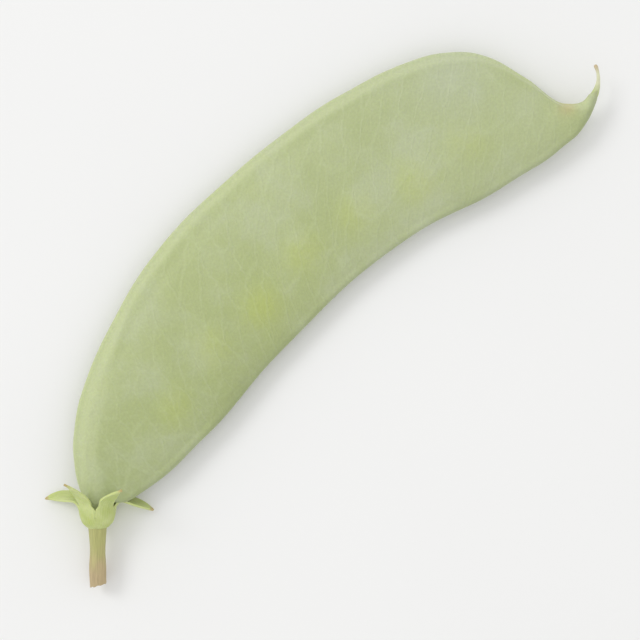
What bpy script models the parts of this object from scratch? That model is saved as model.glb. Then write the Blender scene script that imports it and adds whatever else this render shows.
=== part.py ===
"""A picked snow pea pod lying on one side: the pod, its dried style, its calyx and its cut stem.

Metres, +Z up. The drawing is in millimetres: X runs along the chord from the neck to the beak,
Y points to the curved back, and Z = 0 is the surface that the pod lies on. At the end the whole
object is moved so that the origin is the middle of the floor of its box.
"""

import math

import bmesh
import bpy
from mathutils import Vector

MM = 0.001
GAP = 0.3  # between pieces that touch

# The outline, as pairs of points on the curved back and on the straight belly.
NECK_PAIRS = [((-2.2, -1.5), (-0.4, -2.9)), ((-1.4, 0.3), (1.1, -1.7))]
BODY_PAIRS = [
    ((-0.2, 3.6), (3.8, -3.1)),
    ((3.2, 8.8), (9.8, -3.6)),
    ((11.5, 15.0), (19.0, -2.9)),
    ((27.0, 21.3), (31.5, -0.8)),
    ((45.5, 23.5), (45.5, 0.7)),
    ((63.5, 22.4), (58.5, 0.5)),
    ((76.0, 19.2), (70.0, -1.9)),
    ((82.6, 14.2), (78.0, -3.1)),
    ((85.4, 7.5), (83.5, -3.5)),
]
BEAK_PAIRS = [
    ((86.9, 1.9), (87.3, -3.1)),
    ((89.3, -0.1), (89.7, -2.15)),
    ((91.5, 0.2), (92.0, -0.8)),
]
OUTLINE = [(Vector(back), Vector(belly)) for back, belly in NECK_PAIRS + BODY_PAIRS + BEAK_PAIRS]

# The section: two shallow valves between a stout cord on the belly and a fine one on the back.
HALF_THICKNESS = [1.1, 1.3, 1.4, 1.6, 2.1, 2.5, 2.6, 2.6, 2.5, 2.2, 1.7, 1.2, 0.8, 0.55]
VALVE_FLATNESS = 2.8  # higher is flatter in the middle and steeper at the seams
VALVE_FULLNESS = 0.58
BELLY_CORD_R = 0.75
BACK_CORD_R = 0.5
MID_HEIGHT = 2.3  # under the greatest half thickness, because the underside is pressed flat
END_LIFT = 0.8  # how far the two ends rise off the surface
POD_RINGS = 64
POD_SIDES = 32
END_ROUNDING = 0.25  # how far the middle of each end stands out

# The peas inside show as a row of low swellings along the belly.
PEA_COUNT = 7
PEA_FIRST_X = 17.3
PEA_PITCH = 9.3
PEA_LINE = 0.3  # how far from the belly to the back the row runs, as a part of the width
PEA_R = 3.4
PEA_RISE = 0.45

# The calyx and the stem share an axis that leaves the neck at an angle to the chord.
AXIS = Vector((-0.62, -0.785, 0.0)).normalized()  # away from the pod
TO_BACK = Vector((AXIS.y, -AXIS.x, 0.0))  # across the axis, towards the curved back
CUP_R = 2.5
CUP_WALL = 0.5
CUP_FLOOR = 0.95  # how far behind the end of the neck the cup ends
CUP_RIM = 1.9  # how far in front of the end of the neck its rim stands
CUP_STEPS = 24
SEPAL_LENGTH = 6.2
SEPAL_WIDTH = 3.0
SEPAL_THICKNESS = 0.45
SEPAL_ROOT_R = CUP_R + GAP + SEPAL_THICKNESS / 2  # the lobes stand just outside the rim
SEPAL_LOWEST = 0.45  # no lobe's middle bends lower than this
# Name, angle round the axis from the curved back, then its angle to the axis at rim and at tip,
# and how far its tip is twisted.
SEPALS = [
    ("sepal_back", -18, 55, 112, 55),
    ("sepal_top_back", 54, 28, 70, 20),
    ("sepal_top_belly", 126, 38, 84, -15),
    ("sepal_belly", 198, 88, 124, -55),
    ("sepal_under", 270, 3, 12, 0),
]
STEM_LENGTH = 8.4
STEM_R = 1.05
STEM_DROOP = 1.2
STEM_STEPS = 10
STYLE_LENGTH = 3.4
STYLE_R = 0.45
STYLE_HEADINGS = (math.radians(24), math.radians(78))  # it hooks towards the curved back
STYLE_STEPS = 8


def clear_scene():
    for item in list(bpy.data.objects):
        bpy.data.objects.remove(item)


def material(name, colour, roughness):
    made = bpy.data.materials.new(name)
    made.use_nodes = True
    shader = made.node_tree.nodes["Principled BSDF"]
    shader.inputs["Base Color"].default_value = (*colour, 1.0)
    shader.inputs["Roughness"].default_value = roughness
    shader.inputs["Metallic"].default_value = 0.0
    return made


def add(collection, parent, name, data, finish=None):
    made = bpy.data.objects.new(name, data)
    collection.objects.link(made)
    made.parent = parent
    if finish:
        data.materials.append(finish)
    return made


def mesh_from(built, name):
    data = bpy.data.meshes.new(name)
    bmesh.ops.recalc_face_normals(built, faces=built.faces)
    built.to_mesh(data)
    built.free()
    data.shade_smooth()
    return data


def along_curve(values, place):
    """A smooth curve through 2D values, read at place: 0 is the first value and 1 the last."""
    last = len(values) - 1
    strides = [math.sqrt((b - a).length) for a, b in zip(values, values[1:])]

    def slope(i):
        if i in (0, last):
            end = min(i, last - 1)
            return (values[end + 1] - values[end]) / strides[end]
        before, after = strides[i - 1], strides[i]
        arriving = (values[i] - values[i - 1]) / before
        leaving = (values[i + 1] - values[i]) / after
        return (arriving * after + leaving * before) / (before + after)

    at = min(max(place, 0.0), 1.0) * last
    i = min(int(at), last - 1)
    t = at - i
    ease = 3 * t**2 - 2 * t**3
    straight = values[i] * (1 - ease) + values[i + 1] * ease
    out, into = slope(i) * strides[i], slope(i + 1) * strides[i]
    return straight + out * (t**3 - 2 * t**2 + t) + into * (t**3 - t**2)


def mid_height(x):
    """Height of the pod's mid plane: level along the middle, rising at both ends."""
    half_length = OUTLINE[-1][0].x / 2
    return MID_HEIGHT + END_LIFT * abs(x / half_length - 1) ** 3


def cord_height(distance, radius):
    """Half height of a round cord that begins at distance 0."""
    return math.sqrt(max(0.0, radius**2 - (distance - radius) ** 2))


def pea_height(x, distance, width):
    """How far the skin stands out over the peas, at a distance from the belly."""
    off_line = distance - PEA_LINE * width
    places = (PEA_FIRST_X + PEA_PITCH * i for i in range(PEA_COUNT))
    squares = (((x - place) ** 2 + off_line**2) / PEA_R**2 for place in places)
    return PEA_RISE * sum(math.exp(-square) for square in squares)


def pod_point(place, turn):
    """A point of the skin: place runs from neck to beak, and turn goes round the section."""
    back = along_curve([pair[0] for pair in OUTLINE], place)
    belly = along_curve([pair[1] for pair in OUTLINE], place)
    half = along_curve([Vector((i, t)) for i, t in enumerate(HALF_THICKNESS)], place).y
    width = (back - belly).length
    to_back = (1 + math.cos(turn)) / 2
    flat = belly.lerp(back, to_back)
    swell = (1 - abs(math.cos(turn)) ** VALVE_FLATNESS) ** VALVE_FULLNESS
    valve = (half + pea_height(flat.x, to_back * width, width)) * swell
    belly_cord = cord_height(to_back * width, min(BELLY_CORD_R, half))
    back_cord = cord_height((1 - to_back) * width, min(BACK_CORD_R, half))
    height = math.copysign(max(valve, belly_cord, back_cord), math.sin(turn))
    return Vector((flat.x, flat.y, mid_height(flat.x) + height))


def end_point(place, inner_place):
    """The middle of an end, which stands out a little."""
    middle = (pod_point(place, 0.0) + pod_point(place, math.pi)) / 2
    inner = (pod_point(inner_place, 0.0) + pod_point(inner_place, math.pi)) / 2
    return middle + (middle - inner).normalized() * END_ROUNDING


def pod_mesh():
    """A sphere's rings, with its poles at the neck and the beak, moved out to the pod's skin."""
    built = bmesh.new()
    bmesh.ops.create_uvsphere(built, u_segments=POD_SIDES, v_segments=POD_RINGS, radius=1)
    for vertex in built.verts:
        ring = round(math.acos(max(-1.0, min(1.0, vertex.co.z))) / math.pi * POD_RINGS)
        if ring == 0:
            point = end_point(0.0, 0.02)
        elif ring == POD_RINGS:
            point = end_point(1.0, 0.98)
        else:
            place = (ring - 1) / (POD_RINGS - 2)
            point = pod_point(place, math.atan2(vertex.co.y, vertex.co.x))
        vertex.co = point * MM
    return mesh_from(built, "pod")


def press_flat(pod, cutters):
    """Cuts the underside off level with the surface, which leaves the flat that it rests on."""
    length, width, depth = 140, 60, 10
    built = bmesh.new()
    bmesh.ops.create_cube(built, size=1)
    bmesh.ops.scale(built, vec=Vector((length, width, depth)) * MM, verts=built.verts)
    bmesh.ops.translate(built, vec=Vector((45, 10, -depth / 2)) * MM, verts=built.verts)
    block = add(cutters, pod.parent, "surface_cutter", mesh_from(built, "surface_cutter"))
    block.hide_render = True
    block.display_type = "WIRE"
    cut = pod.modifiers.new("rest on the surface", "BOOLEAN")
    cut.operation = "DIFFERENCE"
    cut.object = block


def tube(name, points, radii):
    data = bpy.data.curves.new(name, "CURVE")
    data.dimensions = "3D"
    data.bevel_depth = MM
    data.bevel_resolution = 3
    data.use_fill_caps = True
    line = data.splines.new("POLY")
    line.points.add(len(points) - 1)
    for spot, point, radius in zip(line.points, points, radii):
        spot.co = (*(point * MM), 1.0)
        spot.radius = radius
    line.use_smooth = True
    return data


def style_curve():
    """The dried thread leaves the beak level, hooks to the back and thins to its tip."""
    beak = (OUTLINE[-1][0] + OUTLINE[-1][1]) / 2
    first, last = STYLE_HEADINGS
    away = Vector((math.cos(first), math.sin(first), 0.0)) * (END_ROUNDING + GAP)
    point = Vector((beak.x, beak.y, mid_height(beak.x))) + away
    points, radii = [], []
    for i in range(STYLE_STEPS + 1):
        share = i / STYLE_STEPS
        points.append(point.copy())
        radii.append(STYLE_R * (1 - 0.45 * share))
        heading = first + (last - first) * share
        point += Vector((math.cos(heading), math.sin(heading), 0.1)) * STYLE_LENGTH / STYLE_STEPS
    return tube("style", points, radii)


def stem_curve():
    """The stalk flares where it meets the cup, and droops and thickens to its cut end."""
    points, radii = [], []
    for i in range(STEM_STEPS + 1):
        share = i / STEM_STEPS
        point = neck() + AXIS * (CUP_FLOOR + GAP + STEM_LENGTH * share)
        point.z -= STEM_DROOP * share**1.5
        points.append(point)
        radii.append(STEM_R + 0.2 * (1 - share) ** 6 + 0.15 * share)
    return tube("stem", points, radii)


def neck():
    """The middle of the end of the neck, where the calyx's axis begins."""
    back, belly = OUTLINE[0]
    middle = (back + belly) / 2
    return Vector((middle.x, middle.y, mid_height(middle.x)))


def cup_profile():
    """The cup's wall in half section: outside from the rim to the axis, then inside back up."""
    inner = CUP_R - CUP_WALL
    outside = [
        (CUP_R, CUP_RIM),
        (CUP_R * 0.99, CUP_RIM * 0.5),
        (CUP_R * 0.86, -CUP_FLOOR * 0.3),
        (CUP_R * 0.6, -CUP_FLOOR * 0.85),
        (0.0, -CUP_FLOOR),
    ]
    inside = [
        (0.0, CUP_WALL - CUP_FLOOR),
        (inner * 0.65, CUP_WALL - CUP_FLOOR * 0.9),
        (inner * 0.9, -CUP_FLOOR * 0.1),
        (inner, CUP_RIM * 0.5),
        (inner, CUP_RIM),
    ]
    return outside + inside


def add_cup(collection, parent, finish):
    built = bmesh.new()
    line = [built.verts.new(Vector((r, 0, z)) * MM) for r, z in cup_profile()]
    for a, b in zip(line, line[1:] + line[:1]):
        if a.co.x or b.co.x:
            built.edges.new((a, b))
    data = bpy.data.meshes.new("calyx_cup")
    built.to_mesh(data)
    built.free()
    cup = add(collection, parent, "calyx_cup", data, finish)
    cup.location = neck() * MM
    cup.rotation_euler = (-AXIS).to_track_quat("Z", "X").to_euler()
    turn = cup.modifiers.new("turn", "SCREW")
    turn.steps = turn.render_steps = CUP_STEPS
    turn.use_merge_vertices = True
    turn.merge_threshold = 0.00001


def add_sepal(collection, parent, finish, name, around, first, last, twist):
    """A pointed lobe outside the cup's rim, whose angle to the axis goes from first to last."""
    forward = -AXIS
    outward = TO_BACK * math.cos(around) + Vector((0, 0, math.sin(around)))
    sideways = forward.cross(outward)
    root = neck() + forward * (CUP_RIM - SEPAL_THICKNESS) + outward * SEPAL_ROOT_R
    bend = last - first
    built = bmesh.new()
    bmesh.ops.create_grid(built, x_segments=4, y_segments=8, size=1)
    for vertex in built.verts:
        across, share = vertex.co.x, (vertex.co.y + 1) / 2
        angle = first + bend * share
        ahead = (math.sin(angle) - math.sin(first)) / bend
        out = (math.cos(first) - math.cos(angle)) / bend
        half_width = SEPAL_WIDTH / 2 * (0.1 + (0.62 + 1.3 * share) * (1 - share**1.8))
        inward = forward * math.sin(angle) - outward * math.cos(angle)
        lean = twist * share
        breadth = sideways * math.cos(lean) - inward * math.sin(lean)
        face = inward * math.cos(lean) + sideways * math.sin(lean)
        point = root + (forward * ahead + outward * out) * SEPAL_LENGTH
        point += (breadth * across + face * 0.3 * across**2) * half_width
        point.z = max(point.z, SEPAL_LOWEST)
        vertex.co = point * MM
    sepal = add(collection, parent, name, mesh_from(built, name), finish)
    wall = sepal.modifiers.new("thickness", "SOLIDIFY")
    wall.thickness = SEPAL_THICKNESS * MM
    wall.offset = 0


def put_origin_under_middle(root, parts):
    """Moves the whole so that the middle of the floor of its box is the origin."""
    bpy.context.view_layer.update()
    graph = bpy.context.evaluated_depsgraph_get()
    corners = []
    for part in parts:
        shape = part.evaluated_get(graph)
        mesh = shape.to_mesh()
        corners += [shape.matrix_world @ vertex.co for vertex in mesh.vertices]
        shape.to_mesh_clear()
    for axis in (0, 1):
        values = [corner[axis] for corner in corners]
        root.location[axis] = -(min(values) + max(values)) / 2


def main():
    clear_scene()
    collection = bpy.data.collections.new("snow_pea_pod")
    cutters = bpy.data.collections.new("cutters")
    for made in (collection, cutters):
        bpy.context.scene.collection.children.link(made)
    root = bpy.data.objects.new("pod_place", None)
    collection.objects.link(root)

    skin = material("waxy pod skin", (0.46, 0.53, 0.28), 0.5)
    leaf = material("calyx leaf", (0.47, 0.58, 0.22), 0.55)
    stalk = material("cut stalk", (0.50, 0.46, 0.26), 0.7)
    thread = material("dried style", (0.68, 0.66, 0.44), 0.7)

    pod = add(collection, root, "pod", pod_mesh(), skin)
    press_flat(pod, cutters)
    add(collection, root, "style", style_curve(), thread)
    add(collection, root, "stem", stem_curve(), stalk)
    add_cup(collection, root, leaf)
    for name, *angles in SEPALS:
        add_sepal(collection, root, leaf, name, *(math.radians(angle) for angle in angles))
    put_origin_under_middle(root, [part for part in collection.objects if part.data])


main()
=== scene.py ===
"""A fresh snow pea pod lying on one side, with its leafy calyx, cut stalk and dried style."""

import math

import bmesh
import bpy
import numpy as np
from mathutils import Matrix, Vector


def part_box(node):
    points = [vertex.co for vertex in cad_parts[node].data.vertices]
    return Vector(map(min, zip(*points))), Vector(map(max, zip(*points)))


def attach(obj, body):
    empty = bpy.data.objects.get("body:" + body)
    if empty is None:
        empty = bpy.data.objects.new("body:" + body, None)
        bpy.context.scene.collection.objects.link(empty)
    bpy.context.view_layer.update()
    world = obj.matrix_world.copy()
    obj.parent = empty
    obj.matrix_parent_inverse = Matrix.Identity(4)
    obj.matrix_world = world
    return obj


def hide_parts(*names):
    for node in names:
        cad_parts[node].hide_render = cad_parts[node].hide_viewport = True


bl_info = {
    "name": "Snow pea pod",
    "version": (1, 0, 0),
    "blender": (4, 5, 0),
    "location": "3D View > Sidebar > Snow Pea",
    "description": "Builds a fresh snow pea pod around its packed frame",
    "category": "Add Mesh",
}

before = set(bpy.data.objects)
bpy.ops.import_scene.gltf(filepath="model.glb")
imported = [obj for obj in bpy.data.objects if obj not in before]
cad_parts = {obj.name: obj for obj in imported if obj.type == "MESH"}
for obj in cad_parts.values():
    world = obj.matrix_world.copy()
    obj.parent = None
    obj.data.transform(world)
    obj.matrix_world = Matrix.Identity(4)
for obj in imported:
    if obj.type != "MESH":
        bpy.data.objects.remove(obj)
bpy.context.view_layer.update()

MM = 0.001
BODY = "root"

# ---------------------------------------------------------------------------------------------
# The drawing, in millimetres: X along the chord from the neck to the beak, Y to the curved back.

OUTLINE = np.array(
    [
        ((-2.2, -1.5), (-0.4, -2.9)),
        ((-1.4, 0.3), (1.1, -1.7)),
        ((-0.2, 3.6), (3.8, -3.1)),
        ((3.2, 8.8), (9.8, -3.6)),
        ((11.5, 15.0), (19.0, -2.9)),
        ((27.0, 21.3), (31.5, -0.8)),
        ((45.5, 23.5), (45.5, 0.7)),
        ((63.5, 22.4), (58.5, 0.5)),
        ((76.0, 19.2), (70.0, -1.9)),
        ((82.6, 14.2), (78.0, -3.1)),
        ((85.4, 7.5), (83.5, -3.5)),
        ((86.9, 1.9), (87.3, -3.1)),
        ((89.3, -0.1), (89.7, -2.15)),
        ((91.5, 0.2), (92.0, -0.8)),
    ]
)
HALF_THICKNESS = [1.1, 1.3, 1.4, 1.6, 2.1, 2.5, 2.6, 2.6, 2.5, 2.2, 1.7, 1.2, 0.8, 0.55]
VALVE_FLATNESS = 2.8
VALVE_FULLNESS = 0.58
WOBBLE = 0.07
MIDLINE = 97  # the length of the pod's middle line
MID_HEIGHT = 2.3
END_LIFT = 0.8
DRAWING_LOW = (-2.2, -3.6, 0.0)  # the corner of the pod's box, in the drawing
CLEARANCE = 0.02  # between the pod's underside and the floor
UNDERSIDE_BLEND = 0.12  # how softly what lies on the floor is pressed level

STYLE_HEADINGS = (math.radians(24), math.radians(78))  # it hooks towards the curved back

AXIS = np.array((-0.62, -0.785, 0.0)) / math.hypot(0.62, 0.785)  # down the stem
TO_BACK = np.array((AXIS[1], -AXIS[0], 0.0))
UP = np.array((0.0, 0.0, 1.0))

# Name, angle round the axis from the curved back, then its angle to the axis at rim and at tip,
# and how far its tip is twisted.
SEPALS = [
    ("sepal_back", -18, 55, 112, 55),
    ("sepal_top_back", 54, 28, 70, 20),
    ("sepal_top_belly", 126, 38, 84, -15),
    ("sepal_belly", 198, 88, 124, -55),
    ("sepal_under", 270, 3, 12, 0),
]


# ---------------------------------------------------------------------------------------------
# Shapes


def ease(value, low=0.0, high=1.0):
    """A smooth step from 0 at low to 1 at high."""
    t = np.clip((value - low) / (high - low), 0.0, 1.0)
    return t * t * (3 - 2 * t)


def bell(distance, width):
    return np.exp(-((distance / width) ** 2))


def spot(x, y, centre, squash, width):
    """A soft spot of that width, squashed across the pod."""
    return bell(np.hypot(x - centre[0], (y - centre[1]) * squash), width)


def softly_over(value, least, blend):
    """value, but never under least, with a rounded join of that width."""
    gap = value - least
    return least + (gap + np.sqrt(gap**2 + blend**2)) / 2


def through(values, place):
    """A smooth curve through values, read at the places: 0 is the first value and 1 the last."""
    values = np.asarray(values, float).reshape(len(values), -1)
    steps = np.diff(values, axis=0)
    strides = np.sqrt(np.linalg.norm(steps, axis=1))[:, None]
    slopes = steps / strides
    before, after = strides[:-1], strides[1:]
    inner = (slopes[:-1] * after + slopes[1:] * before) / (before + after)
    slopes = np.vstack([slopes[:1], inner, slopes[-1:]])
    at = np.clip(place, 0.0, 1.0) * (len(values) - 1)
    i = np.minimum(at.astype(int), len(values) - 2)
    t = (at - i)[:, None]
    blend = 3 * t**2 - 2 * t**3
    straight = values[i] * (1 - blend) + values[i + 1] * blend
    out, into = slopes[i] * strides[i], slopes[i + 1] * strides[i]
    return straight + out * (t**3 - 2 * t**2 + t) + into * (t**3 - t**2)


def mid_height(x):
    """Height of the pod's mid plane: level along the middle, rising at both ends."""
    half_length = OUTLINE[-1, 0, 0] / 2
    return MID_HEIGHT + END_LIFT * np.abs(x / half_length - 1) ** 3


def neck():
    x, y = OUTLINE[0].mean(axis=0)
    return np.array((x, y, mid_height(x)))


def to_row(points):
    """Drawing millimetres to the row frame's metres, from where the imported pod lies."""
    low = np.array(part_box("pod")[0])
    return low * (1, 1, 0) + (points - DRAWING_LOW) * MM


def rounded_end(ring, outward, depth, steps):
    """Rings that close an end over, and the point in their middle."""
    middle = ring.mean(axis=0)
    angles = np.linspace(0, math.pi / 2, steps + 2)[1:-1]
    rings = [middle + (ring - middle) * math.cos(a) + outward * depth * math.sin(a) for a in angles]
    return rings, middle + outward * depth


def skin(name, rows, poles=None):
    """A mesh over rows of points. With poles, the rows are rings, closed by a point at each end."""
    rows = np.asarray(rows)
    index = np.arange(rows.shape[0] * rows.shape[1]).reshape(rows.shape[:2])
    points = rows.reshape(-1, 3)
    if poles is not None:
        index = np.hstack([index, index[:, :1]])
        points = np.vstack([points, poles])
    corners = (index[:-1, :-1], index[:-1, 1:], index[1:, 1:], index[1:, :-1])
    faces = np.stack(corners, axis=-1).reshape(-1, 4).tolist()
    if poles is not None:
        for pole, ring in ((len(points) - 2, index[0]), (len(points) - 1, index[-1])):
            faces += [(pole, int(b), int(a)) for a, b in zip(ring, ring[1:])]
    data = bpy.data.meshes.new(name)
    data.from_pydata(to_row(points).tolist(), [], faces)
    return data


def with_skin_map(data, name, values):
    """Keeps a number, or three, for every point of the mesh, for its material to read."""
    values = np.asarray(values, np.float32)
    kind, key = ("FLOAT", "value") if values.ndim == 1 else ("FLOAT_VECTOR", "vector")
    data.attributes.new(name, kind, "POINT").data.foreach_set(key, values.ravel())


def face_outwards(data):
    built = bmesh.new()
    built.from_mesh(data)
    bmesh.ops.recalc_face_normals(built, faces=built.faces)
    built.to_mesh(data)
    built.free()


def add_piece(name, data, material, nodes):
    """One piece of the pod, on the pod's body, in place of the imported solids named."""
    face_outwards(data)
    data.materials.append(material)
    data.shade_smooth()
    piece = bpy.data.objects.new(name, data)
    bpy.context.scene.collection.objects.link(piece)
    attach(piece, BODY)
    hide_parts(*nodes)
    return piece


# ---------------------------------------------------------------------------------------------
# Materials


def linear(code):
    """An sRGB hex colour as linear red, green and blue."""
    values = [int(code[i : i + 2], 16) / 255 for i in (1, 3, 5)]
    return [v / 12.92 if v <= 0.04045 else ((v + 0.055) / 1.055) ** 2.4 for v in values]


def solid(colour):
    return (*colour, 1.0)


def per(mm):
    """Texture scale, in object space, whose features are that many millimetres across."""
    return 1 / (mm * MM)


def add_node(tree, kind, inputs=None, **settings):
    """A node with its settings, whose inputs are values or other nodes' sockets to link."""
    made = tree.nodes.new(kind)
    for key, value in settings.items():
        setattr(made, key, value)
    for key, value in (inputs or {}).items():
        if isinstance(value, bpy.types.NodeSocket):
            tree.links.new(value, made.inputs[key])
        else:
            made.inputs[key].default_value = value
    return made


# Sockets of a Mix node set to colours.
FACTOR, FIRST, SECOND, MIXED = 0, 6, 7, 2


def start_material(name):
    material = bpy.data.materials.new(name)
    material.use_nodes = True
    material.node_tree.nodes.clear()
    return material, material.node_tree


def pod_skin_material(look):
    """Pea pod epidermis, grown under a thin wax bloom: matt, pale and cloudy over a greener flesh,
    paler along the back, partly as painted light, yellower over the peas, with a faint net of
    oblique veins. Painted shade darkens the wall by the stem on the belly's side and the string
    along the belly, and grey-white patches are partly wax and partly painted sheen."""
    material, tree = start_material("pod epidermis with wax bloom and painted light")
    place = add_node(tree, "ShaderNodeTexCoord").outputs["Object"]
    seams = add_node(tree, "ShaderNodeAttribute", attribute_name="seam_map").outputs["Vector"]
    pea = add_node(tree, "ShaderNodeAttribute", attribute_name="pea").outputs["Fac"]
    bloom_and_sheen_patches = add_node(tree, "ShaderNodeAttribute", attribute_name="bloom_and_sheen").outputs["Fac"]
    tan = add_node(tree, "ShaderNodeAttribute", attribute_name="tan").outputs["Fac"]
    split = add_node(tree, "ShaderNodeSeparateXYZ", {0: seams}).outputs
    along, from_belly, from_back = split["X"], split["Y"], split["Z"]

    # Cloudy greens about 13 mm across.
    clouds = add_node(
        tree, "ShaderNodeTexNoise", {"Vector": place, "Scale": per(13), "Detail": 3.0, "Roughness": 0.55}
    ).outputs["Fac"]
    cloud_mask = add_node(
        tree, "ShaderNodeMapRange", {"Value": clouds, "From Min": 0.25, "From Max": 0.7}
    ).outputs["Result"]
    colour = add_node(
        tree,
        "ShaderNodeMix",
        {FACTOR: cloud_mask, FIRST: solid(look.flesh), SECOND: solid(look.pale_flesh)},
        data_type="RGBA",
    ).outputs[MIXED]

    # Painted shade: a darker green by the stem, on the belly's side, fading towards the beak.
    spread = add_node(
        tree, "ShaderNodeMath", {0: from_belly, 1: 1.5, 2: along}, operation="MULTIPLY_ADD"
    ).outputs[0]
    belly_shade_mask = add_node(
        tree,
        "ShaderNodeMapRange",
        {"Value": spread, "From Min": 20.0, "From Max": 58.0, "To Min": 0.45, "To Max": 0.0},
        interpolation_type="SMOOTHSTEP",
    ).outputs["Result"]
    colour = add_node(
        tree,
        "ShaderNodeMix",
        {FACTOR: belly_shade_mask, FIRST: colour, SECOND: solid(look.belly_shade_flesh)},
        data_type="RGBA",
    ).outputs[MIXED]

    # Yellower over each pea, where the wall is stretched thin.
    pea_mask = add_node(
        tree, "ShaderNodeMath", {0: pea, 1: look.pea_tint}, operation="MULTIPLY"
    ).outputs[0]
    colour = add_node(
        tree,
        "ShaderNodeMix",
        {FACTOR: pea_mask, FIRST: colour, SECOND: solid(look.over_peas)},
        data_type="RGBA",
    ).outputs[MIXED]

    # Veins lean from the belly towards the beak: a coarse net with a fine one inside it.
    leaning = add_node(
        tree, "ShaderNodeMath", {0: from_belly, 1: -0.55, 2: along}, operation="MULTIPLY_ADD"
    ).outputs[0]
    wander = add_node(
        tree, "ShaderNodeTexNoise", {"Vector": place, "Scale": per(2.6), "Detail": 2.0}
    ).outputs["Color"]
    nets = []
    for pitch, run, width in ((2.9, 7.5, 0.09), (1.2, 2.6, 0.13)):
        flat = add_node(
            tree,
            "ShaderNodeCombineXYZ",
            {
                "X": add_node(
                    tree, "ShaderNodeMath", {0: leaning, 1: 1 / pitch}, operation="MULTIPLY"
                ).outputs[0],
                "Y": add_node(
                    tree, "ShaderNodeMath", {0: from_belly, 1: 1 / run}, operation="MULTIPLY"
                ).outputs[0],
            },
        ).outputs[0]
        bent = add_node(
            tree,
            "ShaderNodeVectorMath",
            {0: wander, 1: (0.5, 0.3, 0.0), 2: flat},
            operation="MULTIPLY_ADD",
        ).outputs[0]
        edge = add_node(
            tree,
            "ShaderNodeTexVoronoi",
            {"Vector": bent, "Scale": 1.0},
            feature="DISTANCE_TO_EDGE",
            voronoi_dimensions="2D",
        ).outputs["Distance"]
        nets.append(
            add_node(
                tree,
                "ShaderNodeMapRange",
                {"Value": edge, "From Min": 0.0, "From Max": width, "To Min": 1.0, "To Max": 0.0},
                interpolation_type="SMOOTHSTEP",
            ).outputs["Result"]
        )
    veins = add_node(
        tree, "ShaderNodeMath", {0: nets[1], 1: 0.5, 2: nets[0]}, operation="MULTIPLY_ADD"
    ).outputs[0]
    vein_mask = add_node(
        tree, "ShaderNodeMath", {0: veins, 1: look.vein_strength}, operation="MULTIPLY"
    ).outputs[0]
    colour = add_node(
        tree,
        "ShaderNodeMix",
        {FACTOR: vein_mask, FIRST: colour, SECOND: solid(look.veins)},
        data_type="RGBA",
    ).outputs[MIXED]

    # A pale margin along the back, broad by the stem, partly the seam's own paler colour and partly
    # painted light where the back faces the lamp; and a darker string along the belly, which is painted
    # shade. Their inner borders wander with the clouds.
    narrowing = add_node(
        tree,
        "ShaderNodeMapRange",
        {"Value": along, "From Min": 14.0, "From Max": 30.0, "To Min": 0.48, "To Max": 1.2},
        interpolation_type="SMOOTHSTEP",
    ).outputs["Result"]
    from_margin = add_node(
        tree, "ShaderNodeMath", {0: from_back, 1: narrowing}, operation="MULTIPLY"
    ).outputs[0]
    for distance, full, gone, strength, shade in (
        (from_margin, 1.3, 2.5, 0.62, look.margin),
        # Painted shade: the belly's string, darkened where it faces away from the lamp.
        (from_belly, 0.3, 1.5, 0.6, look.string),
    ):
        ragged = add_node(
            tree, "ShaderNodeMath", {0: clouds, 1: 2.0, 2: distance}, operation="MULTIPLY_ADD"
        ).outputs[0]
        margin = add_node(
            tree,
            "ShaderNodeMapRange",
            {
                "Value": ragged,
                "From Min": full + 1.0,
                "From Max": gone + 1.0,
                "To Min": strength,
                "To Max": 0.0,
            },
            interpolation_type="SMOOTHSTEP",
        ).outputs["Result"]
        colour = add_node(
            tree,
            "ShaderNodeMix",
            {FACTOR: margin, FIRST: colour, SECOND: solid(shade)},
            data_type="RGBA",
        ).outputs[MIXED]

    # The bloom: grey-white wax, thicker in soft patches where nothing has rubbed it, and grey-white
    # patches laid by the shoulder and the beak that are partly wax and partly painted sheen.
    rubbed = add_node(
        tree, "ShaderNodeTexNoise", {"Vector": place, "Scale": per(7), "Detail": 5.0, "Roughness": 0.6}
    ).outputs["Fac"]
    wax = add_node(
        tree,
        "ShaderNodeMapRange",
        {"Value": rubbed, "From Min": 0.42, "From Max": 0.72, "To Max": look.bloom_strength},
        interpolation_type="SMOOTHSTEP",
    ).outputs["Result"]
    wax = add_node(
        tree, "ShaderNodeMath", {0: bloom_and_sheen_patches, 1: wax}, operation="ADD", use_clamp=True
    ).outputs[0]
    colour = add_node(
        tree,
        "ShaderNodeMix",
        {FACTOR: wax, FIRST: colour, SECOND: solid(look.bloom_and_sheen)},
        data_type="RGBA",
    ).outputs[MIXED]

    # A little tan where the beak narrows and at its tip.
    tan_mask = add_node(
        tree, "ShaderNodeMath", {0: tan, 1: look.tan_strength}, operation="MULTIPLY"
    ).outputs[0]
    colour = add_node(
        tree,
        "ShaderNodeMix",
        {FACTOR: tan_mask, FIRST: colour, SECOND: solid(look.tan)},
        data_type="RGBA",
    ).outputs[MIXED]

    # Cells and stomata, drawn 0.35 mm across, which is coarser than they are, so that they show.
    cells = add_node(
        tree, "ShaderNodeTexNoise", {"Vector": place, "Scale": per(0.35), "Detail": 2.0}
    ).outputs["Fac"]
    grain = add_node(
        tree,
        "ShaderNodeMapRange",
        {"Value": cells, "From Min": 0.3, "From Max": 0.7, "To Min": 0.955, "To Max": 1.045},
    ).outputs["Result"]
    colour = add_node(
        tree, "ShaderNodeVectorMath", {0: colour, "Scale": grain}, operation="SCALE"
    ).outputs[0]

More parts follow.
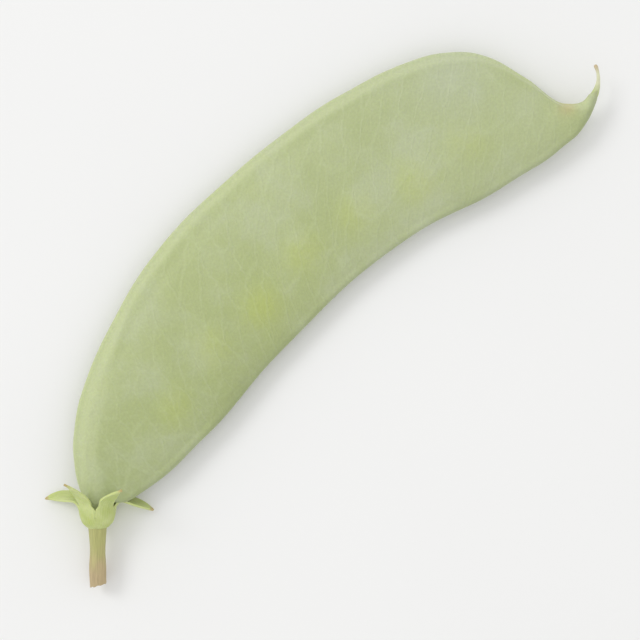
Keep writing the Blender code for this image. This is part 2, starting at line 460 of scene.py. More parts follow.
    roughness = add_node(
        tree,
        "ShaderNodeMapRange",
        {"Value": rubbed, "From Min": 0.3, "From Max": 0.7, "To Min": 0.44, "To Max": 0.6},
    ).outputs["Result"]
    pebbled = add_node(
        tree, "ShaderNodeBump", {"Height": cells, "Strength": 0.5, "Distance": 0.02 * MM}
    ).outputs["Normal"]
    veined = add_node(
        tree,
        "ShaderNodeBump",
        {"Height": veins, "Strength": 0.6, "Distance": 0.05 * MM, "Normal": pebbled},
    ).outputs["Normal"]
    shader = add_node(
        tree,
        "ShaderNodeBsdfPrincipled",
        {
            "Base Color": colour,
            "Roughness": roughness,
            "Normal": veined,
            "IOR": 1.43,
            "Subsurface Weight": 0.12,
            "Subsurface Radius": (1.0, 1.3, 0.4),
            "Subsurface Scale": 1.0 * MM,
            "Sheen Weight": 0.1,
            "Sheen Roughness": 0.6,
        },
    )
    add_node(tree, "ShaderNodeOutputMaterial", {"Surface": shader.outputs[0]})
    return material


def calyx_material(look):
    """Young green leaf: thin, matt, yellow-green, with parallel veins and tips dried to tan."""
    material, tree = start_material("calyx leaf")
    place = add_node(tree, "ShaderNodeTexCoord").outputs["Object"]
    leaf = add_node(tree, "ShaderNodeAttribute", attribute_name="leaf_map").outputs["Vector"]
    split = add_node(tree, "ShaderNodeSeparateXYZ", {0: leaf}).outputs
    across, along, from_edge = split["X"], split["Y"], split["Z"]

    patches = add_node(
        tree, "ShaderNodeTexNoise", {"Vector": place, "Scale": per(2.2), "Detail": 4.0}
    ).outputs["Fac"]
    patch_mask = add_node(
        tree, "ShaderNodeMapRange", {"Value": patches, "From Min": 0.35, "From Max": 0.65}
    ).outputs["Result"]
    colour = add_node(
        tree,
        "ShaderNodeMix",
        {FACTOR: patch_mask, FIRST: solid(look.leaf), SECOND: solid(look.pale_leaf)},
        data_type="RGBA",
    ).outputs[MIXED]
    # Veins 0.32 mm apart that follow the lobe and fade before its tip.
    wave = add_node(
        tree, "ShaderNodeMath", {0: across, 1: 2 * math.pi / 0.32}, operation="MULTIPLY"
    ).outputs[0]
    lines = add_node(tree, "ShaderNodeMath", {0: wave}, operation="COSINE").outputs[0]
    veins = add_node(
        tree,
        "ShaderNodeMapRange",
        {"Value": lines, "From Min": 0.3, "From Max": 1.0},
        interpolation_type="SMOOTHSTEP",
    ).outputs["Result"]
    vein_mask = add_node(
        tree, "ShaderNodeMath", {0: veins, 1: 0.3}, operation="MULTIPLY"
    ).outputs[0]
    colour = add_node(
        tree,
        "ShaderNodeMix",
        {FACTOR: vein_mask, FIRST: colour, SECOND: solid(look.leaf_veins)},
        data_type="RGBA",
    ).outputs[MIXED]
    # A pale edge, and a dry tip whose border wanders.
    edge = add_node(
        tree,
        "ShaderNodeMapRange",
        {"Value": from_edge, "From Min": 0.0, "From Max": 0.3, "To Min": 0.6, "To Max": 0.0},
    ).outputs["Result"]
    colour = add_node(
        tree,
        "ShaderNodeMix",
        {FACTOR: edge, FIRST: colour, SECOND: solid(look.pale_leaf)},
        data_type="RGBA",
    ).outputs[MIXED]
    wandering = add_node(
        tree, "ShaderNodeMath", {0: patches, 1: 0.25, 2: along}, operation="MULTIPLY_ADD"
    ).outputs[0]
    dry = add_node(
        tree,
        "ShaderNodeMapRange",
        {"Value": wandering, "From Min": 0.98, "From Max": 1.1, "To Max": 0.85},
        interpolation_type="SMOOTHSTEP",
    ).outputs["Result"]
    colour = add_node(
        tree,
        "ShaderNodeMix",
        {FACTOR: dry, FIRST: colour, SECOND: solid(look.dry_tip)},
        data_type="RGBA",
    ).outputs[MIXED]
    ribbed = add_node(
        tree, "ShaderNodeBump", {"Height": veins, "Strength": 0.7, "Distance": 0.05 * MM}
    ).outputs["Normal"]
    uneven = add_node(
        tree,
        "ShaderNodeBump",
        {"Height": patches, "Strength": 0.6, "Distance": 0.12 * MM, "Normal": ribbed},
    ).outputs["Normal"]
    roughness = add_node(
        tree, "ShaderNodeMapRange", {"Value": patches, "To Min": 0.45, "To Max": 0.7}
    ).outputs["Result"]
    shader = add_node(
        tree,
        "ShaderNodeBsdfPrincipled",
        {
            "Base Color": colour,
            "Roughness": roughness,
            "Normal": uneven,
            "IOR": 1.42,
            "Subsurface Weight": 0.25,
            "Subsurface Radius": (0.8, 1.0, 0.3),
            "Subsurface Scale": 0.6 * MM,
        },
    )
    add_node(tree, "ShaderNodeOutputMaterial", {"Surface": shader.outputs[0]})
    return material


def stalk_material(look):
    """Cut pea stalk: ribbed and green by the calyx, dried to tan fibres at the cut."""
    material, tree = start_material("cut pea stalk")
    place = add_node(tree, "ShaderNodeTexCoord").outputs["Object"]
    stalk = add_node(tree, "ShaderNodeAttribute", attribute_name="stalk_map").outputs["Vector"]
    split = add_node(tree, "ShaderNodeSeparateXYZ", {0: stalk}).outputs
    around, along, inside = split["X"], split["Y"], split["Z"]
    blotches = add_node(
        tree, "ShaderNodeTexNoise", {"Vector": place, "Scale": per(1.6), "Detail": 5.0}
    ).outputs["Fac"]
    drying = add_node(
        tree, "ShaderNodeMath", {0: blotches, 1: 0.6, 2: along}, operation="MULTIPLY_ADD"
    ).outputs[0]
    dry = add_node(
        tree,
        "ShaderNodeMapRange",
        {"Value": drying, "From Min": 0.5, "From Max": 1.15},
        interpolation_type="SMOOTHSTEP",
    ).outputs["Result"]
    colour = add_node(
        tree,
        "ShaderNodeMix",
        {FACTOR: dry, FIRST: solid(look.green_stalk), SECOND: solid(look.dry_stalk)},
        data_type="RGBA",
    ).outputs[MIXED]
    # Fibres run the length of the stalk, 0.12 mm apart.
    stretched = add_node(
        tree,
        "ShaderNodeCombineXYZ",
        {
            "X": add_node(
                tree, "ShaderNodeMath", {0: around, 1: 9.0}, operation="MULTIPLY"
            ).outputs[0],
            "Y": add_node(
                tree, "ShaderNodeMath", {0: along, 1: 3.0}, operation="MULTIPLY"
            ).outputs[0],
        },
    ).outputs[0]
    fibres = add_node(
        tree, "ShaderNodeTexNoise", {"Vector": stretched, "Scale": 1.0, "Detail": 3.0}
    ).outputs["Fac"]
    shade = add_node(
        tree,
        "ShaderNodeMapRange",
        {"Value": fibres, "From Min": 0.3, "From Max": 0.7, "To Min": 0.82, "To Max": 1.12},
    ).outputs["Result"]
    colour = add_node(
        tree, "ShaderNodeVectorMath", {0: colour, "Scale": shade}, operation="SCALE"
    ).outputs[0]
    colour = add_node(
        tree,
        "ShaderNodeMix",
        {FACTOR: inside, FIRST: colour, SECOND: solid(look.pith)},
        data_type="RGBA",
    ).outputs[MIXED]
    rough = add_node(
        tree, "ShaderNodeBump", {"Height": fibres, "Strength": 0.8, "Distance": 0.1 * MM}
    ).outputs["Normal"]
    roughness = add_node(
        tree, "ShaderNodeMapRange", {"Value": dry, "To Min": 0.5, "To Max": 0.85}
    ).outputs["Result"]
    shader = add_node(
        tree,
        "ShaderNodeBsdfPrincipled",
        {"Base Color": colour, "Roughness": roughness, "Normal": rough, "IOR": 1.42},
    )
    add_node(tree, "ShaderNodeOutputMaterial", {"Surface": shader.outputs[0]})
    return material


def style_material(look):
    """Withered flower style: a dry, pale, papery thread with fine lengthwise creases."""
    material, tree = start_material("dried style")
    place = add_node(tree, "ShaderNodeTexCoord").outputs["Object"]
    along = add_node(tree, "ShaderNodeAttribute", attribute_name="along").outputs["Fac"]
    mottle = add_node(
        tree, "ShaderNodeTexNoise", {"Vector": place, "Scale": per(0.5), "Detail": 4.0}
    ).outputs["Fac"]
    base = add_node(
        tree, "ShaderNodeMapRange", {"Value": along, "From Min": 0.1, "From Max": 0.45}
    ).outputs["Result"]
    colour = add_node(
        tree,
        "ShaderNodeMix",
        {FACTOR: base, FIRST: solid(look.thread_base), SECOND: solid(look.thread)},
        data_type="RGBA",
    ).outputs[MIXED]
    tip = add_node(
        tree,
        "ShaderNodeMapRange",
        {"Value": along, "From Min": 0.75, "From Max": 1.0, "To Max": 0.8},
    ).outputs["Result"]
    colour = add_node(
        tree,
        "ShaderNodeMix",
        {FACTOR: tip, FIRST: colour, SECOND: solid(look.thread_tip)},
        data_type="RGBA",
    ).outputs[MIXED]
    shade = add_node(
        tree, "ShaderNodeMapRange", {"Value": mottle, "To Min": 0.85, "To Max": 1.1}
    ).outputs["Result"]
    colour = add_node(
        tree, "ShaderNodeVectorMath", {0: colour, "Scale": shade}, operation="SCALE"
    ).outputs[0]
    creased = add_node(
        tree, "ShaderNodeBump", {"Height": mottle, "Strength": 0.6, "Distance": 0.06 * MM}
    ).outputs["Normal"]
    shader = add_node(
        tree,
        "ShaderNodeBsdfPrincipled",
        {"Base Color": colour, "Roughness": 0.75, "Normal": creased, "IOR": 1.42},
    )
    add_node(tree, "ShaderNodeOutputMaterial", {"Surface": shader.outputs[0]})
    return material


def floor_material(look):
    """Matt painted board: plain and pale, with a faint unevenness that keeps it from looking flat."""
    material, tree = start_material("matt painted board")
    place = add_node(tree, "ShaderNodeTexCoord").outputs["Object"]
    cloud = add_node(
        tree, "ShaderNodeTexNoise", {"Vector": place, "Scale": per(60), "Detail": 2.0}
    ).outputs["Fac"]
    shade = add_node(
        tree, "ShaderNodeMapRange", {"Value": cloud, "To Min": 0.985, "To Max": 1.015}
    ).outputs["Result"]
    colour = add_node(
        tree, "ShaderNodeVectorMath", {0: look.floor, "Scale": shade}, operation="SCALE"
    ).outputs[0]
    shader = add_node(
        tree, "ShaderNodeBsdfPrincipled", {"Base Color": colour, "Roughness": 0.9}
    )
    add_node(tree, "ShaderNodeOutputMaterial", {"Surface": shader.outputs[0]})
    return material


# ---------------------------------------------------------------------------------------------
# Settings


def length(name, description, mm):
    return bpy.props.FloatProperty(
        name=name, description=description, default=mm * MM, min=0.0, unit="LENGTH", precision=5
    )


def share(name, description, default):
    return bpy.props.FloatProperty(
        name=name, description=description, default=default, min=0.0, max=1.0, subtype="FACTOR"
    )


def colour_of(name, description, code):
    return bpy.props.FloatVectorProperty(
        name=name, description=description, default=linear(code), min=0.0, max=1.0, subtype="COLOR"
    )


class PodSettings(bpy.types.PropertyGroup):
    belly_cord: length("Belly cord", "Radius of the stringy cord along the straight seam", 0.75)
    back_cord: length("Back cord", "Radius of the fine cord along the curved seam", 0.5)
    pea_rise: length("Pea rise", "How far the skin stands out over each pea", 0.42)
    flesh: colour_of("Flesh", "Green of the pod's wall", "#A6B177")
    # Painted shade, put in as a darker green on the wall by the stem, on the belly's side.
    belly_shade_flesh: colour_of("Painted belly shade", "Painted shade on the wall by the stem, on the belly's side", "#9CA76F")
    pale_flesh: colour_of("Pale flesh", "Lighter clouds in the wall", "#B1BB87")
    over_peas: colour_of("Over peas", "Yellow-green where a pea lies behind the wall", "#B3BE5E")
    veins: colour_of("Veins", "The net of fine veins", "#C3CEA0")
    # Partly the back seam's own paler colour, partly painted light where the back faces the lamp.
    margin: colour_of("Margin", "Pale edge along the back, partly painted light", "#C3CC9B")
    # Painted shade: the string along the belly, darkened where it faces away from the lamp.
    string: colour_of("String", "Painted shade on the stringy cord along the belly", "#949E70")
    # Grey-white of the wax bloom, also used for the painted sheen in its patches.
    bloom_and_sheen: colour_of("Bloom", "Grey-white wax and painted sheen on the skin", "#BDC3B0")
    tan: colour_of("Tan", "Dry tan at the beak", "#C2A878")
    pea_tint: share("Pea tint", "How strongly the peas show through", 0.44)
    tan_strength: share("Tan strength", "How clearly the tan shows", 0.4)
    vein_strength: share("Vein strength", "How clearly the veins show", 0.14)
    bloom_strength: share("Bloom strength", "How thick the wax is in its patches", 0.24)


class CalyxSettings(bpy.types.PropertyGroup):
    cup_radius: length("Cup radius", "Radius of the calyx's cup at its rim", 2.5)
    lobe_length: length("Lobe length", "Length of each lobe from the rim to its tip", 6.2)
    thickness: length("Thickness", "Thickness of the leafy wall", 0.32)
    leaf: colour_of("Leaf", "Green of the calyx", "#B5C272")
    pale_leaf: colour_of("Pale leaf", "Lighter patches and edges", "#CAD393")
    leaf_veins: colour_of("Leaf veins", "Veins along the lobes", "#D2DA9C")
    dry_tip: colour_of("Dry tip", "Tips dried to tan", "#B89F6E")


class StemSettings(bpy.types.PropertyGroup):
    radius: length("Radius", "Radius of the stalk", 1.05)
    stem_length: length("Length", "Length of the stalk from the cup to the cut", 8.6)
    droop: length("Droop", "How far the cut end hangs below the neck", 1.2)
    green_stalk: colour_of("Green stalk", "Fresh stalk by the calyx", "#B3B273")
    dry_stalk: colour_of("Dry stalk", "Dried fibres at the cut end", "#BDAA84")
    pith: colour_of("Pith", "Face of the cut", "#CFC5A0")


class StyleSettings(bpy.types.PropertyGroup):
    radius: length("Radius", "Radius of the thread where it leaves the beak", 0.45)
    thread_length: length("Length", "Length of the thread", 4.3)
    thread_base: colour_of("Base", "Green where it leaves the beak", "#BAC58A")
    thread: colour_of("Thread", "Dry cream of the thread", "#D9DAB8")
    thread_tip: colour_of("Tip", "Withered tip", "#C4AC86")


class StageSettings(bpy.types.PropertyGroup):
    view_width: length("View width", "Width of what the camera sees at the pod", 92.0)
    camera_turn: bpy.props.FloatProperty(
        name="Camera turn",
        description="How far the pod's chord is turned up from level in the picture",
        default=math.radians(39.4),
        subtype="ANGLE",
    )
    lens: bpy.props.FloatProperty(
        name="Lens", description="Focal length of the camera", default=100.0, unit="CAMERA"
    )
    key_power: bpy.props.FloatProperty(
        name="Key power", description="Power of the large soft light", default=3.6, unit="POWER"
    )
    fill_strength: bpy.props.FloatProperty(
        name="Fill strength", description="Brightness of the even light all round", default=0.88
    )
    floor: colour_of("Floor", "Pale board under the pod", "#EFEFEE")


# ---------------------------------------------------------------------------------------------
# Pieces


def even_places(count):
    """Places from neck to beak, spaced evenly along the middle of the pod."""
    fine = np.linspace(0, 1, 2000)
    middle = (through(OUTLINE[:, 0], fine) + through(OUTLINE[:, 1], fine)) / 2
    travelled = np.concatenate([[0], np.cumsum(np.linalg.norm(np.diff(middle, axis=0), axis=1))])
    return np.interp(np.linspace(0, travelled[-1], count), travelled, fine)


PEA_COUNT = 7
PEA_FIRST_X = 17.3
PEA_PITCH = 9.3
PEA_RADIUS = 3.0

SHOULDER = (77.0, 14.5)  # where the back turns down to the beak, and the grey-white of wax and painted sheen is thickest
BEAK_SIDE = (83.0, 4.5)
NOTCH = (87.2, 0.6)  # where the beak narrows and has dried a little


def pea_swelling(x, from_belly, width):
    """From 0 to 1: the row of peas, smaller at both ends, a little to either side in turn."""
    total = 0.0
    for i in range(PEA_COUNT):
        size = 1 - 0.25 * abs(i / (PEA_COUNT - 1) * 2 - 1) ** 2 + 0.15 * math.sin(4.1 * i)
        row = (0.31 + 0.04 * math.sin(2.3 * i)) * width
        radius = PEA_RADIUS * (0.75 + 0.25 * size)
        off = np.hypot(x - PEA_FIRST_X - PEA_PITCH * i, (from_belly - row) * 1.05)
        total = total + size * np.exp(-((off / radius) ** 2.6))
    return total


def unevenness(x, y):
    """Slow rises and hollows, in millimetres, such as no grown surface is without."""
    return (
        0.07 * np.sin(0.21 * x + 0.33 * y + 0.6)
        + 0.05 * np.sin(0.47 * x - 0.29 * y + 2.1)
        + 0.03 * np.sin(0.83 * x + 0.71 * y + 4.0)
        + 0.02 * np.sin(1.31 * x - 1.13 * y + 1.2)
    )


def cord_height(distance, radius):
    return np.sqrt(np.maximum(radius**2 - (distance - radius) ** 2, 0.0))


def pod_surface(look, rings, sides):
    """The pod's skin as rings of points, with its maps: seams, peas and bloom."""
    place = even_places(rings)
    back, belly = through(OUTLINE[:, 0], place), through(OUTLINE[:, 1], place)
    half = through(list(enumerate(HALF_THICKNESS)), place)[:, 1:]
    turn = np.arange(sides) / sides * 2 * math.pi
    turn = turn + 0.25 * np.sin(2 * turn)
    to_back = (1 + np.cos(turn)) / 2

    # Neither seam runs quite true.
    travel = place * MIDLINE
    fade = WOBBLE * (1 - ease(travel, 78, 90))
    wave = np.sin(0.52 * travel) + 0.5 * np.sin(1.27 * travel)
    back = back + (fade * wave)[:, None] * (0, 1)
    belly = belly + (fade * np.sin(0.67 * travel + 2))[:, None] * (0, 1)
    flat = belly[:, None] * (1 - to_back[:, None]) + back[:, None] * to_back[:, None]
    x, y = flat[..., 0], flat[..., 1]
    width = np.linalg.norm(back - belly, axis=1)[:, None]
    from_belly, from_back = to_back * width, (1 - to_back) * width
    body = ease(width, 4.0, 12.0)

    # The valve starts inside the cords and is flat in its middle.
    belly_inset = np.minimum(look.belly_cord / MM * 0.9, width * 0.12)
    back_inset = np.minimum(look.back_cord / MM * 0.9, width * 0.08)
    inner = np.clip((from_belly - belly_inset) / (width - belly_inset - back_inset), 0, 1)
    swell = (1 - np.abs(2 * inner - 1) ** VALVE_FLATNESS) ** VALVE_FULLNESS
    peas = pea_swelling(x, from_belly, width)
    top = np.sin(turn) > 0
    rise = peas * look.pea_rise / MM + unevenness(x + 40 * top, y) * body
    # A low ridge runs inside the curved seam, with a shallow furrow beyond it.
    ridge, furrow = 0.15 * bell(from_back - 1.7, 0.7), 0.14 * bell(from_back - 3.0, 0.8)
    rise = rise + ridge * body - furrow * body
    valve = (half + rise) * swell
    cords = np.maximum(
        cord_height(from_belly, np.minimum(look.belly_cord / MM, half)),
        cord_height(from_back, np.minimum(look.back_cord / MM, half)),
    )
    height = (valve**4 + cords**4) ** 0.25
    z = mid_height(x) + np.where(top, height, -height)
    z = np.where(top, z, softly_over(z, CLEARANCE, UNDERSIDE_BLEND))
    points = np.stack([x, y, z], axis=-1)
    # The string along the belly is double: a fine groove parts its two strands.
    across = np.append(back - belly, np.zeros((rings, 1)), axis=1)
    groove = 0.16 * bell(height, 0.16) * (from_belly < 0.3) * body
    points = points + groove[..., None] * (across / width)[:, None]
    # The beak narrows into its dry thread.
    middle = points.mean(axis=1, keepdims=True)
    narrowed = 0.68 + 0.32 * ease(travel[-1] - travel, 0.0, 2.6)
    points = middle + (points - middle) * narrowed[:, None, None]

    along = np.linspace(0, MIDLINE, rings)[:, None] + 0 * x
    seams = np.stack([along, from_belly, from_back], axis=-1)
    # Grey-white by the shoulder, beside the beak and over the half towards the beak: partly wax bloom,
    # partly painted sheen.
    wax = 0.36 * spot(x, y, SHOULDER, 1.3, 5.5) + 0.15 * spot(x, y, BEAK_SIDE, 1.3, 3.0)
    wax = wax + 0.14 * ease(x, 35.0, 70.0) * (1 - ease(x, 81.0, 87.0))
    tan = spot(x, y, NOTCH, 1.2, 1.4) + 0.35 * ease(x, 90.5, 92.5)
    return points, {"seam_map": seams, "pea": peas, "bloom_and_sheen": wax, "tan": tan}


def make_pod(look):
    points, maps = pod_surface(look, rings=390, sides=220)
    first, neck_point = rounded_end(points[0], AXIS, 0.3, 2)
    beak_way = points[-1].mean(axis=0) - points[-4].mean(axis=0)
    last, beak_point = rounded_end(points[-1], beak_way / np.linalg.norm(beak_way), 0.5, 4)
    rows = np.concatenate([first[::-1], points, last])
    data = skin("pod", rows, poles=[neck_point, beak_point])

    def widened(values):
        """The values for the closing rings and end points too, which repeat the nearest ring's."""
        ends = [values[:1]] * len(first), [values[-1:]] * len(last)
        full = np.concatenate([*ends[0], values, *ends[1]])
        flat = full.reshape(full.shape[0] * full.shape[1], -1)
        flat = np.vstack([flat, flat[:1], flat[-1:]])
        return flat[:, 0] if values.ndim == 2 else flat

    for name, values in maps.items():
        with_skin_map(data, name, widened(values))
    return data


CUP_PROFILE = [(-1.35, 0.38), (-1.05, 0.58), (-0.5, 0.8), (0.4, 0.94), (1.3, 1.0)]


def lobe_surface(look, around, first, last, twist, variety):
    """A fifth of the cup and the lobe that grows from it, as rows of points, with its leaf map:
    millimetres from the midrib, share of the length, and millimetres from the edge."""
    forward = -AXIS
    radius, long = look.cup_radius / MM, look.lobe_length / MM * (1 + 0.08 * variety)
    u = np.linspace(-1, 1, 25)
    half_angle = math.pi / 5

    cup = through(CUP_PROFILE, np.linspace(0, 1, 18))
    angle = around + u * half_angle
    rays = np.cos(angle)[:, None] * TO_BACK + np.sin(angle)[:, None] * UP
    rows = [neck() + forward * a + rays * r * radius for a, r in cup]
    maps = [np.stack([u * half_angle * r * radius, 0 * u, 0 * u + 0.5], axis=-1) for a, r in cup]

    share_along = np.linspace(0, 1, 46)
    bend = 0.15 + (first - 0.15) * ease(share_along, 0.0, 0.3) + (last - first) * share_along
    step = long / (len(share_along) - 1)
    ahead = np.concatenate([[0], np.cumsum(np.cos(bend[:-1]) * step)])
    out = np.concatenate([[0], np.cumsum(np.sin(bend[:-1]) * step)])
    outward = math.cos(around) * TO_BACK + math.sin(around) * UP
    sideways = np.cross(forward, outward)
    root = neck() + forward * CUP_PROFILE[-1][0] + outward * radius
    for s, a, o, b in list(zip(share_along, ahead, out, bend))[1:]:
        shape = (1 - s**1.9) * (1 - 0.28 * ease(s, 0.0, 0.12) + 0.3 * ease(s, 0.05, 0.45)) + 0.03
        width = radius * half_angle * shape * (1 + 0.03 * math.sin(9 * s + 3 * variety))
        hollow = radius + 4.5 * ease(s, 0.0, 0.6)
        inward = forward * math.sin(b) - outward * math.cos(b)
        reach = u * width / hollow
        sag = hollow * (1 - np.cos(reach)) - 0.1 * bell(u * width, 0.22) * (1 - s)
        lean = (twist + 0.15 * variety) * s
        breadth = sideways * math.cos(lean) - inward * math.sin(lean)
        face = inward * math.cos(lean) + sideways * math.sin(lean)
        points = root + forward * a + outward * o + (hollow * np.sin(reach))[:, None] * breadth
        rows.append(points + sag[:, None] * face)
        edge = (1 - np.abs(u)) * width
        maps.append(np.stack([u * width, 0 * u + s, np.minimum(edge, (1 - s) * long)], axis=-1))
    rows = np.array(rows)
    lowest = look.thickness / MM / 2 + 0.05
    rows[..., 2] = softly_over(rows[..., 2], lowest, UNDERSIDE_BLEND)
    return rows, np.array(maps)


def make_calyx(look):
    """Five lobes, joined edge to edge where they make the cup."""
    pieces = []
    for i, (_, *angles) in enumerate(SEPALS):
        rows, maps = lobe_surface(look, *map(math.radians, angles), variety=math.sin(2.4 * i + 1))
        lobe = skin("lobe", rows)
        with_skin_map(lobe, "leaf_map", maps.reshape(-1, 3))
        pieces.append(lobe)
    built = bmesh.new()
    for lobe in pieces:
        built.from_mesh(lobe)
    bmesh.ops.remove_doubles(built, verts=built.verts, dist=0.01 * MM)
    data = bpy.data.meshes.new("calyx")
    built.to_mesh(data)
    built.free()
    return data


def tube_rows(path, radii, sides, ribs=0, rib_depth=0.0, flatness=1.0):
    """Rings round a path, with shallow ribs along it and, with flatness, a flattened section."""
    way = np.gradient(path, axis=0)
    way = way / np.linalg.norm(way, axis=1)[:, None]
    side = np.cross(way, UP)
    side = side / np.linalg.norm(side, axis=1)[:, None]
    top = np.cross(side, way)
    turn = np.arange(sides) / sides * 2 * math.pi
    wave = 1 + rib_depth * np.cos(ribs * turn)
    radii = np.asarray(radii)[:, None] * wave
    return (
        path[:, None]
        + (radii * np.cos(turn))[..., None] * side[:, None]
        + (radii * np.sin(turn) * flatness)[..., None] * top[:, None]
    )


def make_stem(look):
    """The stalk swells into the cup, has five shallow ribs, and ends in a slightly slanted cut."""
    s = np.linspace(0, 1, 70)
    long, radius = look.stem_length / MM, look.radius / MM
    start = 1.0
    path = neck() + (start + long * s)[:, None] * AXIS
    path = path - (look.droop / MM * s**1.5)[:, None] * UP
    path = path + (0.25 * np.sin(2.2 * s) * s)[:, None] * TO_BACK
    radii = radius + 0.28 * (1 - s) ** 6 + 0.15 * s + 0.04 * np.sin(11 * s)
    rows = tube_rows(path, radii, 60, ribs=5, rib_depth=0.045)
    turn = np.arange(60) / 60 * 2 * math.pi
    slant = (0.35 * np.cos(turn + 0.8) + 0.06 * np.sin(7 * turn))[:, None] * AXIS
    rows = rows + ease(s, 0.8, 1.0)[:, None, None] * slant
    maps = np.stack(np.broadcast_arrays(turn * radius, s[:, None], 0 * s[:, None]), axis=-1)
    # The cut face: a torn rim, then pith that has shrunk inwards.
    rim, middle = rows[-1], rows[-1].mean(axis=0)
    for size, sunk, pith in ((0.93, -0.05, 0.3), (0.8, 0.02, 0.9), (0.5, 0.12, 1.0), (0.2, 0.16, 1.0)):
        rows = np.concatenate([rows, [middle + (rim - middle) * size - AXIS * sunk]])
        cut = np.stack(np.broadcast_arrays(turn * radius, 1.0, pith), axis=-1)
        maps = np.concatenate([maps, [cut]])
    data = skin("stem", rows, poles=[path[0], middle - AXIS * 0.17])
    ends = [[0.0, 0.0, 0.0], [0.0, 1.0, 1.0]]
    with_skin_map(data, "stalk_map", np.vstack([maps.reshape(-1, 3), ends]))
    return data


def make_style(look):
    """The thread leaves the beak level, hooks to the back, thins, and ends in a small knob."""
    count = 60
    s = np.linspace(0, 1, count)
    x, y = OUTLINE[-1].mean(axis=0)
    start = np.array((x - 0.5, y - 0.2, mid_height(x)))
    first, last = STYLE_HEADINGS
    heading = first + (last - first) * s**1.2
    long = look.thread_length / MM
    step = np.stack([np.cos(heading), np.sin(heading), 0.1 + 0 * s], axis=-1) * long / (count - 1)
    path = start + np.vstack([[0, 0, 0], np.cumsum(step[:-1], axis=0)])
    radii = look.radius / MM * (1 - 0.5 * ease(s, 0.0, 0.7) + 0.12 * bell(s - 0.97, 0.06))
    radii = radii * (1 + 0.05 * np.sin(23 * s) * s) + 0.12 * (1 - s) ** 4
    rows = tube_rows(path, radii, 20, ribs=3, rib_depth=0.07, flatness=0.75)
    way = path[-1] - path[-3]
    tip, point = rounded_end(rows[-1], way / np.linalg.norm(way), 0.2, 3)
    data = skin("style", np.concatenate([rows, tip]), poles=[path[0], point])
    along = np.concatenate([np.repeat(s, 20), np.ones(20 * len(tip)), [0.0, 1.0]])
    with_skin_map(data, "along", along)
    return data


# ---------------------------------------------------------------------------------------------
# Operators


class MESH_OT_pea_pod(bpy.types.Operator):
    """Adds the pod: both valves, the two seams and the beak, in one skin"""

    bl_idname = "mesh.pea_pod"
    bl_label = "Pod"

    def execute(self, context):
        look = context.scene.pea_pod
        add_piece("pod_skin", make_pod(look), pod_skin_material(look), ["pod"])
        return {"FINISHED"}


class MESH_OT_pea_calyx(bpy.types.Operator):
    """Adds the calyx: a cup with five pointed lobes"""

    bl_idname = "mesh.pea_calyx"
    bl_label = "Calyx"

    def execute(self, context):
        look = context.scene.pea_calyx
        nodes = ["calyx_cup"] + [name for name, *_ in SEPALS]
        calyx = add_piece("calyx", make_calyx(look), calyx_material(look), nodes)
        wall = calyx.modifiers.new("leaf thickness", "SOLIDIFY")
        wall.thickness = look.thickness
        wall.offset = 0
        soft = calyx.modifiers.new("soft edges", "SUBSURF")
        soft.levels = soft.render_levels = 1
        return {"FINISHED"}


class MESH_OT_pea_stem(bpy.types.Operator):
    """Adds the cut stalk behind the calyx"""

    bl_idname = "mesh.pea_stem"
    bl_label = "Stem"

    def execute(self, context):
        look = context.scene.pea_stem
        add_piece("stem_stalk", make_stem(look), stalk_material(look), ["stem"])
        return {"FINISHED"}


class MESH_OT_pea_style(bpy.types.Operator):
    """Adds the dried thread at the beak"""

    bl_idname = "mesh.pea_style"
    bl_label = "Style"

    def execute(self, context):
        look = context.scene.pea_style
        add_piece("style_thread", make_style(look), style_material(look), ["style"])
        return {"FINISHED"}


def middle_of_view(turn):
    """The point of the floor in the middle of all the pieces, as a camera with that turn sees them."""
    across = Vector((math.cos(turn), -math.sin(turn), 0.0))
    upwards = Vector((math.sin(turn), math.cos(turn), 0.0))
    meshes = [node.data for node in bpy.context.scene.objects if node.type == "MESH"]
    corners = [vertex.co for data in meshes for vertex in data.vertices]
    middle = Vector()
    for way in (across, upwards):
        places = [corner.dot(way) for corner in corners]
        middle += way * (min(places) + max(places)) / 2
    return middle


FLOOR_REACH = 6.0
KEY_WIDTH = 0.5
KEY_OFFSET = (-0.3, 0.86, 0.82)  # from the middle of the view, beyond the curved back


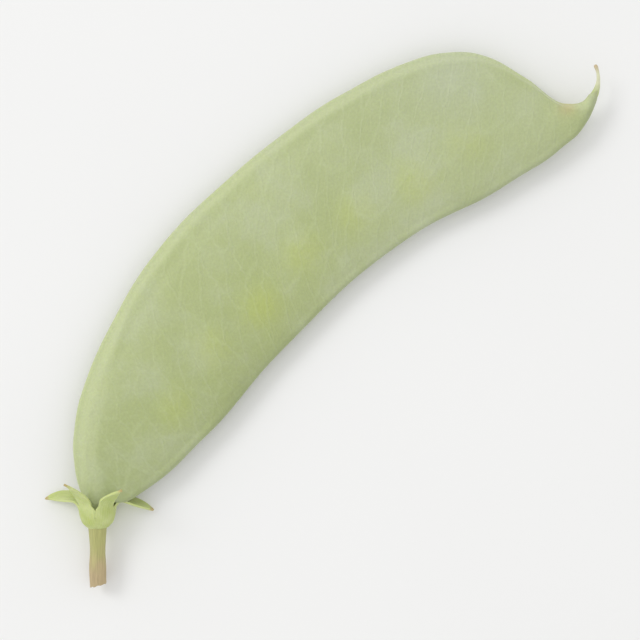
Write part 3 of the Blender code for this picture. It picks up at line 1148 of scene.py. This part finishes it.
class SCENE_OT_pea_stage(bpy.types.Operator):
    """Adds the floor, the soft light and the camera, which looks straight down"""

    bl_idname = "scene.pea_stage"
    bl_label = "Stage"

    def execute(self, context):
        scene, look = context.scene, context.scene.pea_stage
        centre = middle_of_view(look.camera_turn)
        built = bmesh.new()
        bmesh.ops.create_grid(built, x_segments=4, y_segments=4, size=FLOOR_REACH)
        data = bpy.data.meshes.new("floor")
        built.to_mesh(data)
        built.free()
        data.materials.append(floor_material(look))
        floor = bpy.data.objects.new("floor", data)
        floor.location.z = -0.01 * MM
        scene.collection.objects.link(floor)

        key = bpy.data.lights.new("key", "AREA")
        key.shape = "DISK"
        key.size = KEY_WIDTH
        key.energy = look.key_power
        lamp = bpy.data.objects.new("key", key)
        lamp.location = centre + Vector(KEY_OFFSET)
        lamp.rotation_euler = (centre - lamp.location).to_track_quat("-Z", "Y").to_euler()
        scene.collection.objects.link(lamp)

        world = bpy.data.worlds.new("even light")
        world.use_nodes = True
        sky = world.node_tree.nodes["Background"]
        sky.inputs["Color"].default_value = (1.0, 1.0, 1.0, 1.0)
        sky.inputs["Strength"].default_value = look.fill_strength
        scene.world = world
        scene.view_settings.view_transform = "Standard"

        camera = bpy.data.objects.new("camera", bpy.data.cameras.new("camera"))
        camera.data.lens = look.lens
        distance = look.view_width * look.lens / camera.data.sensor_width
        camera.location = centre + Vector((0.0, 0.0, distance))
        camera.rotation_euler = (0.0, 0.0, -look.camera_turn)
        camera.data.clip_start = 0.01
        scene.collection.objects.link(camera)
        scene.camera = camera
        return {"FINISHED"}


class VIEW3D_PT_pea_pod(bpy.types.Panel):
    """Lists the pieces of the pod and what can be changed about them"""

    bl_idname = "VIEW3D_PT_pea_pod"
    bl_label = "Snow Pea Pod"
    bl_space_type = "VIEW_3D"
    bl_region_type = "UI"
    bl_category = "Snow Pea"

    def draw(self, context):
        for operator, settings in STEPS:
            box = self.layout.box()
            box.operator(operator.bl_idname)
            group = getattr(context.scene, settings)
            for name in group.bl_rna.properties.keys():
                if name not in ("rna_type", "name"):
                    box.prop(group, name)


STEPS = [
    (MESH_OT_pea_pod, "pea_pod"),
    (MESH_OT_pea_calyx, "pea_calyx"),
    (MESH_OT_pea_stem, "pea_stem"),
    (MESH_OT_pea_style, "pea_style"),
    (SCENE_OT_pea_stage, "pea_stage"),
]
SETTINGS = {
    "pea_pod": PodSettings,
    "pea_calyx": CalyxSettings,
    "pea_stem": StemSettings,
    "pea_style": StyleSettings,
    "pea_stage": StageSettings,
}


def register():
    for name, group in SETTINGS.items():
        bpy.utils.register_class(group)
        setattr(bpy.types.Scene, name, bpy.props.PointerProperty(type=group))
    for operator, _ in STEPS:
        bpy.utils.register_class(operator)
    bpy.utils.register_class(VIEW3D_PT_pea_pod)


def unregister():
    bpy.utils.unregister_class(VIEW3D_PT_pea_pod)
    for operator, _ in reversed(STEPS):
        bpy.utils.unregister_class(operator)
    for name, group in SETTINGS.items():
        delattr(bpy.types.Scene, name)
        bpy.utils.unregister_class(group)


def main():
    register()
    bpy.ops.mesh.pea_pod()
    bpy.ops.mesh.pea_calyx()
    bpy.ops.mesh.pea_stem()
    bpy.ops.mesh.pea_style()
    bpy.ops.scene.pea_stage()


if __name__ == "__main__":
    main()
